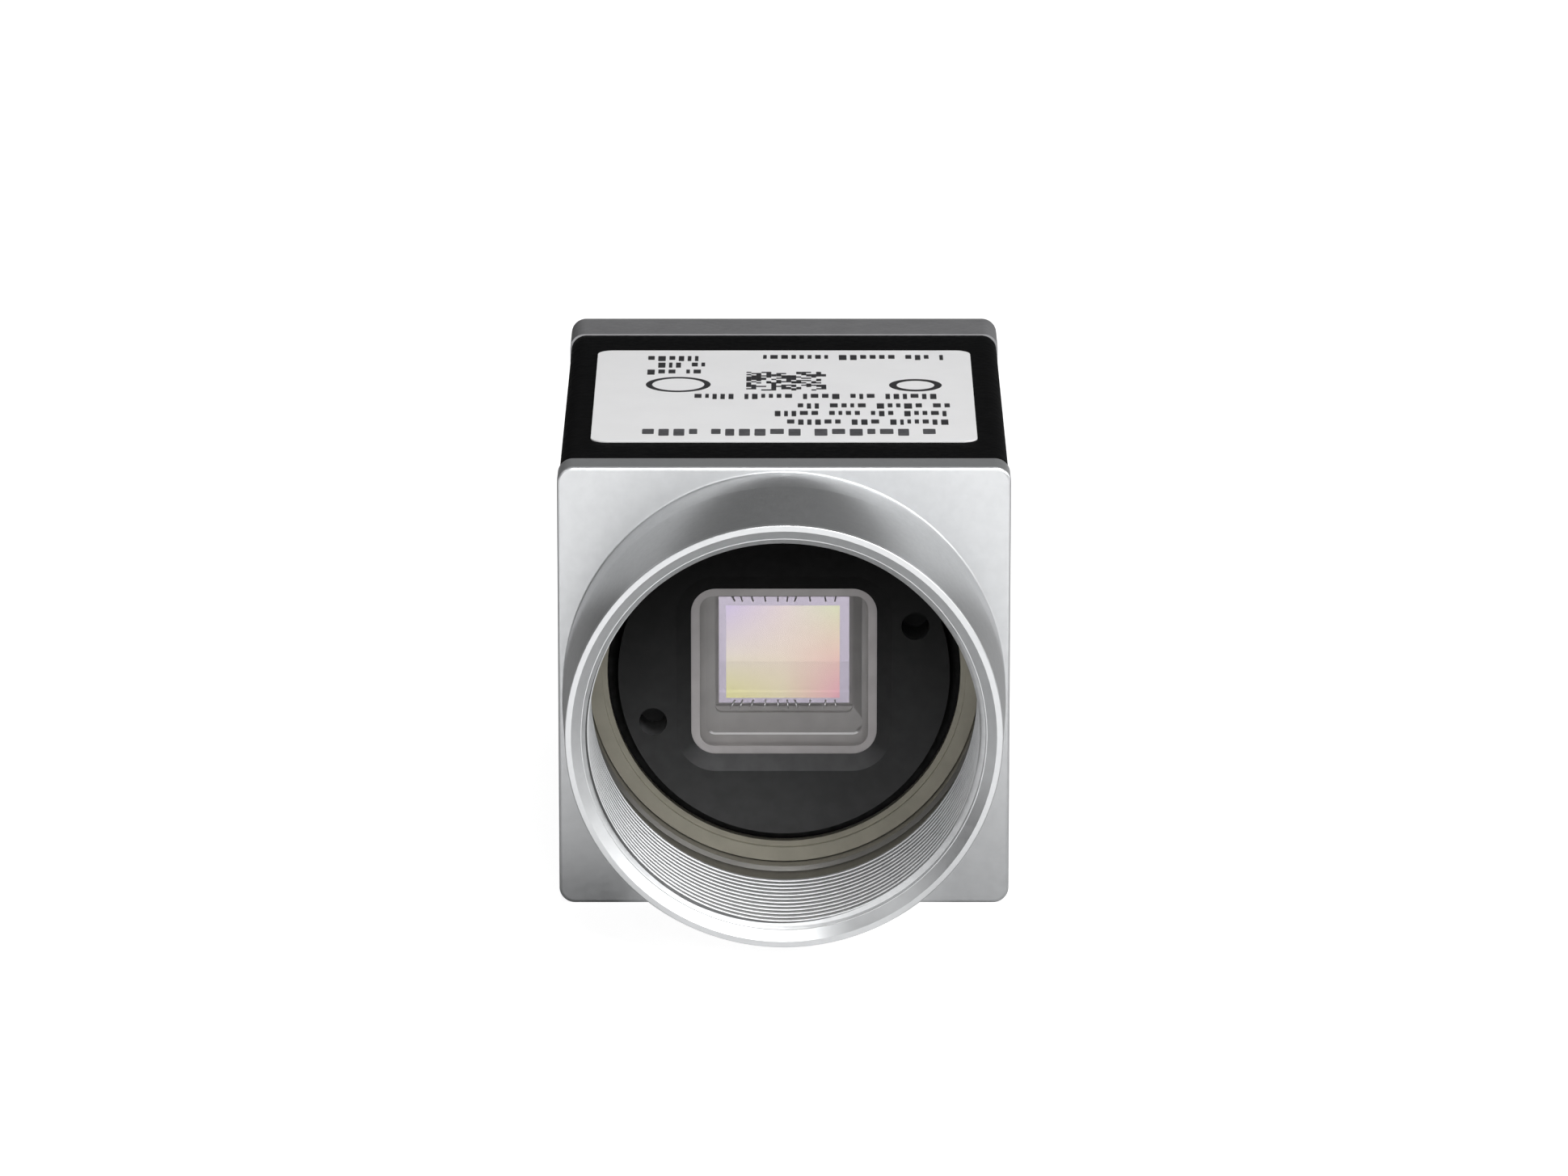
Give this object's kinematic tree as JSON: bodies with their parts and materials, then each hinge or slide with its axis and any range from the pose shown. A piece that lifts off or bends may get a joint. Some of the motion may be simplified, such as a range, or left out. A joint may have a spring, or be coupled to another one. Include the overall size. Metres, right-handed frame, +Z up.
{
  "type": "machine vision camera",
  "caption": "Compact cube-form industrial camera with a threaded lens mount in front, an image sensor behind a window, and network and power sockets at the back.",
  "frame": {"origin": "centre of the lens mount's front rim, on the optical axis", "axes": "+Y backwards along the optical axis, +Z up, +X to the right seen from the front"},
  "size_m": [0.029, 0.0602, 0.029],
  "materials": {
    "silver_alloy": "satin, fine blasted",
    "black_coating": "satin black coating",
    "grey_coating": "satin grey coating",
    "label_film": "matt polyester label",
    "khaki_metal": "satin chromate",
    "holder_black": "fine matt",
    "seal_rubber": "matt",
    "filter_glass": "polished, coated",
    "gasket_silicone": "smooth silicone",
    "package_ceramic": "fired ceramic",
    "cover_glass": "polished",
    "sensor_silicon": "iridescent, polished",
    "gold": "gold plated",
    "tin": "tinned",
    "circuit_board": "green solder mask",
    "chip_plastic": "moulded epoxy",
    "link_plastic": "moulded",
    "ferrite": "sintered",
    "capacitor_ceramic": "fired",
    "nickel_brass": "nickel plated",
    "screw_steel": "plain steel",
    "connector_black": "moulded",
    "light_pipe": "clear polycarbonate",
    "led_body": "moulded"
  },
  "bodies": {
    "root": {"front_housing": "silver_alloy", "housing_sleeve": "black_coating", "rear_cap": "grey_coating", "label": "label_film", "spacer_ring": "khaki_metal", "holder_seal": "seal_rubber", "filter_holder": "holder_black", "ir_cut_filter": "filter_glass", "filter_gasket": "gasket_silicone", "sensor_package": "package_ceramic", "sensor_cover_glass": "cover_glass", "sensor_die": "sensor_silicon", "bond_wires": "gold", "sensor_pins": "tin", "sensor_board": "circuit_board", "readout_chip": "chip_plastic", "front_standoffs": "nickel_brass", "sensor_link_plug": "link_plastic", "sensor_link_socket": "link_plastic", "processor_board": "circuit_board", "processor_chip": "chip_plastic", "memory_chips": "chip_plastic", "board_capacitors": "capacitor_ceramic", "rear_standoffs": "nickel_brass", "interface_link_plug": "link_plastic", "interface_link_socket": "link_plastic", "interface_board": "circuit_board", "network_transformer": "chip_plastic", "network_chip": "chip_plastic", "power_inductor": "ferrite", "board_screws": "screw_steel", "jack_insulator": "connector_black", "jack_shell": "nickel_brass", "jack_contacts": "gold", "receptacle_shell": "nickel_brass", "receptacle_insert": "connector_black", "receptacle_pins": "gold", "receptacle_nut": "nickel_brass", "status_light_pipe": "light_pipe", "status_led": "led_body", "tie_screws": "screw_steel"}
  },
  "joints": []
}
